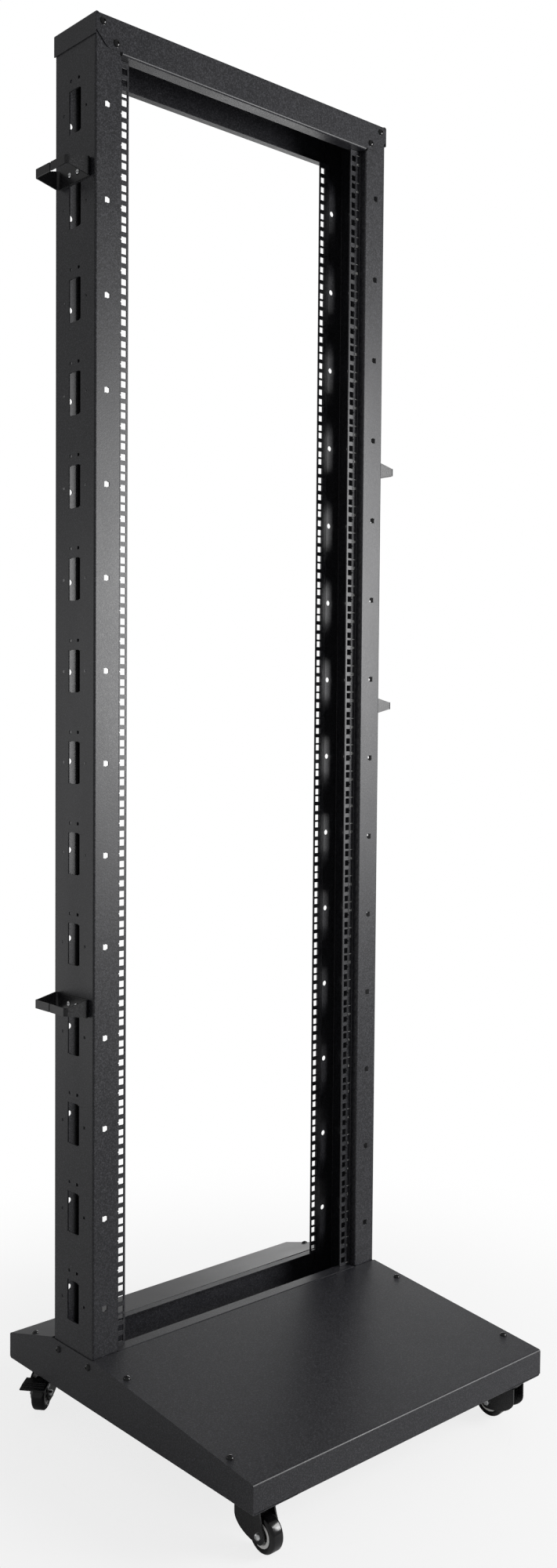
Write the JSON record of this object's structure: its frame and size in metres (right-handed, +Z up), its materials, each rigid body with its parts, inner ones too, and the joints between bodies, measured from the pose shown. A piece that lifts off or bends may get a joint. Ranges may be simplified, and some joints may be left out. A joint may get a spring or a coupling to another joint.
{
  "type": "two post open frame rack",
  "caption": "Open frame equipment rack with folded steel posts, square hole rails, a top beam, side cable rings and a low sloping base on braked swivel casters.",
  "frame": {"origin": "on the floor, under the middle of the whole rack, rings and wheels included", "axes": "+X to the rack's right as seen from the front, +Y to the back, +Z up"},
  "size_m": [0.668, 0.593, 2.0715],
  "materials": {
    "frame_paint": "black powder coat with a fine texture",
    "ring_paint": "black powder coat, satin",
    "caster_paint": "black, semi gloss",
    "zinc": "bright zinc plate",
    "hub_plastic": "off-white moulded nylon",
    "tyre": "dark solid rubber"
  },
  "bodies": {
    "rack_frame": {"post_left": "frame_paint", "post_right": "frame_paint", "rail_front_left": "frame_paint", "rail_front_right": "frame_paint", "rail_rear_left": "frame_paint", "rail_rear_right": "frame_paint", "top_beam": "frame_paint", "base_cross_channel": "frame_paint", "base_side_left": "frame_paint", "base_side_right": "frame_paint", "base_front_cover": "frame_paint", "base_rear_cover": "frame_paint", "cable_ring_left_lower": "ring_paint", "cable_ring_left_upper": "ring_paint", "cable_ring_right_lower": "ring_paint", "cable_ring_right_upper": "ring_paint", "caster_plate_front_left": "caster_paint", "caster_plate_front_right": "caster_paint", "caster_plate_rear_left": "caster_paint", "caster_plate_rear_right": "caster_paint"},
    "swivel_front_left": {"caster_fork_front_left": "caster_paint", "caster_axle_front_left": "zinc"},
    "wheel_front_left": {"caster_hub_front_left": "hub_plastic", "caster_tyre_front_left": "tyre"},
    "swivel_front_right": {"caster_fork_front_right": "caster_paint", "caster_axle_front_right": "zinc"},
    "wheel_front_right": {"caster_hub_front_right": "hub_plastic", "caster_tyre_front_right": "tyre"},
    "swivel_rear_left": {"caster_fork_rear_left": "caster_paint", "caster_axle_rear_left": "zinc"},
    "wheel_rear_left": {"caster_hub_rear_left": "hub_plastic", "caster_tyre_rear_left": "tyre"},
    "swivel_rear_right": {"caster_fork_rear_right": "caster_paint", "caster_axle_rear_right": "zinc"},
    "wheel_rear_right": {"caster_hub_rear_right": "hub_plastic", "caster_tyre_rear_right": "tyre"},
    "pedal_rear_left": {"brake_pedal_rear_left": "caster_paint"},
    "pedal_rear_right": {"brake_pedal_rear_right": "caster_paint"}
  },
  "joints": [
    {"name": "front_left_swivel", "type": "hinge", "parent": "rack_frame", "child": "swivel_front_left", "pos_m": [-0.2535, -0.2515, 0.06], "axis": [0, 0, 1], "continuous": true},
    {"name": "front_left_wheel_spin", "type": "hinge", "parent": "swivel_front_left", "child": "wheel_front_left", "pos_m": [-0.2535, -0.2715, 0.025], "axis": [1, 0, 0], "continuous": true},
    {"name": "front_right_swivel", "type": "hinge", "parent": "rack_frame", "child": "swivel_front_right", "pos_m": [0.2535, -0.2515, 0.06], "axis": [0, 0, 1], "continuous": true},
    {"name": "front_right_wheel_spin", "type": "hinge", "parent": "swivel_front_right", "child": "wheel_front_right", "pos_m": [0.25141, -0.23161, 0.025], "axis": [-0.9945, -0.1045, 0], "continuous": true},
    {"name": "rear_left_swivel", "type": "hinge", "parent": "rack_frame", "child": "swivel_rear_left", "pos_m": [-0.2535, 0.2565, 0.06], "axis": [0, 0, 1], "continuous": true},
    {"name": "rear_left_wheel_spin", "type": "hinge", "parent": "swivel_rear_left", "child": "wheel_rear_left", "pos_m": [-0.26882, 0.24364, 0.025], "axis": [0.6428, -0.766, 0], "continuous": true},
    {"name": "rear_right_swivel", "type": "hinge", "parent": "rack_frame", "child": "swivel_rear_right", "pos_m": [0.2535, 0.2565, 0.06], "axis": [0, 0, 1], "continuous": true},
    {"name": "rear_right_wheel_spin", "type": "hinge", "parent": "swivel_rear_right", "child": "wheel_rear_right", "pos_m": [0.26882, 0.24364, 0.025], "axis": [0.6428, 0.766, 0], "continuous": true},
    {"name": "rear_left_brake_pedal", "type": "hinge", "parent": "swivel_rear_left", "child": "pedal_rear_left", "pos_m": [-0.28261, 0.23207, 0.045], "axis": [0.6428, -0.766, 0], "range_deg": [0, 15]},
    {"name": "rear_right_brake_pedal", "type": "hinge", "parent": "swivel_rear_right", "child": "pedal_rear_right", "pos_m": [0.28261, 0.23207, 0.045], "axis": [0.6428, 0.766, 0], "range_deg": [0, 15]}
  ]
}
